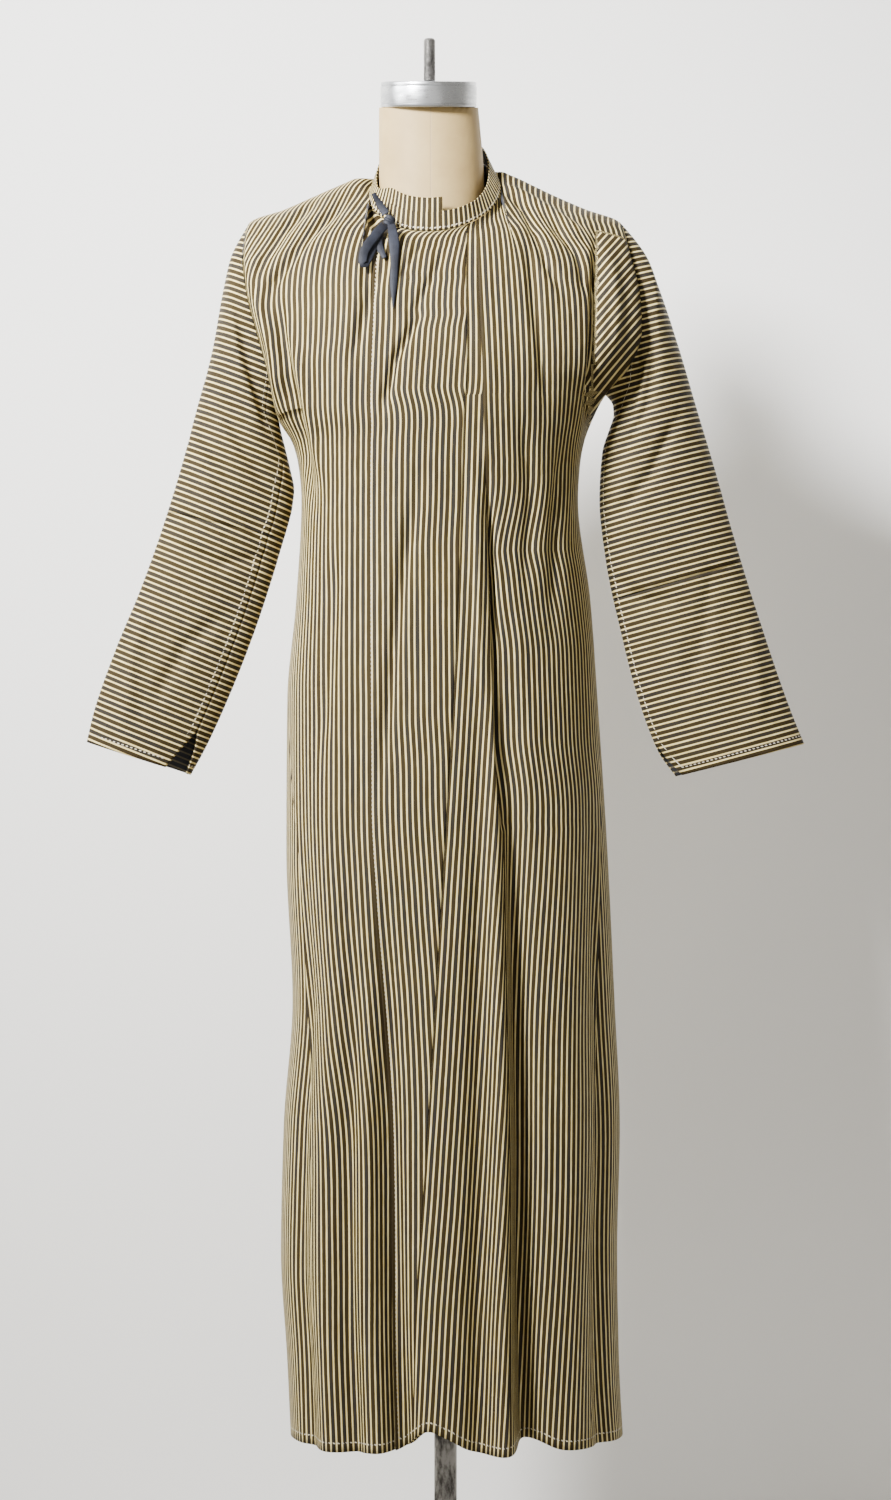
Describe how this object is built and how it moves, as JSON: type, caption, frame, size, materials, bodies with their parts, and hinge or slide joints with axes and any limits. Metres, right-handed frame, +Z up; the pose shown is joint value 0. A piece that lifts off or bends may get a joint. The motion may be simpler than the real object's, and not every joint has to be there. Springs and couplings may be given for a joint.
{
  "type": "kaftan on dress form",
  "caption": "Long striped kaftan with open cuffs, wrapped front and ribbon tie, worn by a limbless dress form on a round-based stand.",
  "frame": {"origin": "on the floor, on the axis of the pole", "axes": "+Z up, the front of the kaftan faces -Y, +X towards the wearer's left sleeve"},
  "size_m": [0.8053, 0.41, 1.782],
  "materials": {
    "striped_cloth": "satin stripes of dark charcoal and cream gold",
    "ribbon": "matte dark navy tape",
    "form_canvas": "smooth cream covering, slightly soiled",
    "plate_metal": "turned and polished",
    "stand_steel": "worn grey steel",
    "base_iron": "plain dark paint"
  },
  "bodies": {
    "root": {"right_front": "striped_cloth", "front_overlap": "striped_cloth", "front_gore": "striped_cloth", "left_front": "striped_cloth", "back": "striped_cloth", "side_gore_right": "striped_cloth", "side_gore_left": "striped_cloth", "sleeve_right_upper": "striped_cloth", "sleeve_right_lower": "striped_cloth", "gusset_right": "striped_cloth", "sleeve_left_upper": "striped_cloth", "sleeve_left_lower": "striped_cloth", "gusset_left": "striped_cloth", "neckband": "striped_cloth", "tie_knot": "ribbon", "tie_stem": "ribbon", "tie_long_tail": "ribbon", "tie_short_tail": "ribbon", "tie_loop": "ribbon", "form_body": "form_canvas", "neck_plate": "plate_metal", "threaded_rod": "stand_steel", "pole": "stand_steel", "base": "base_iron"}
  },
  "joints": []
}
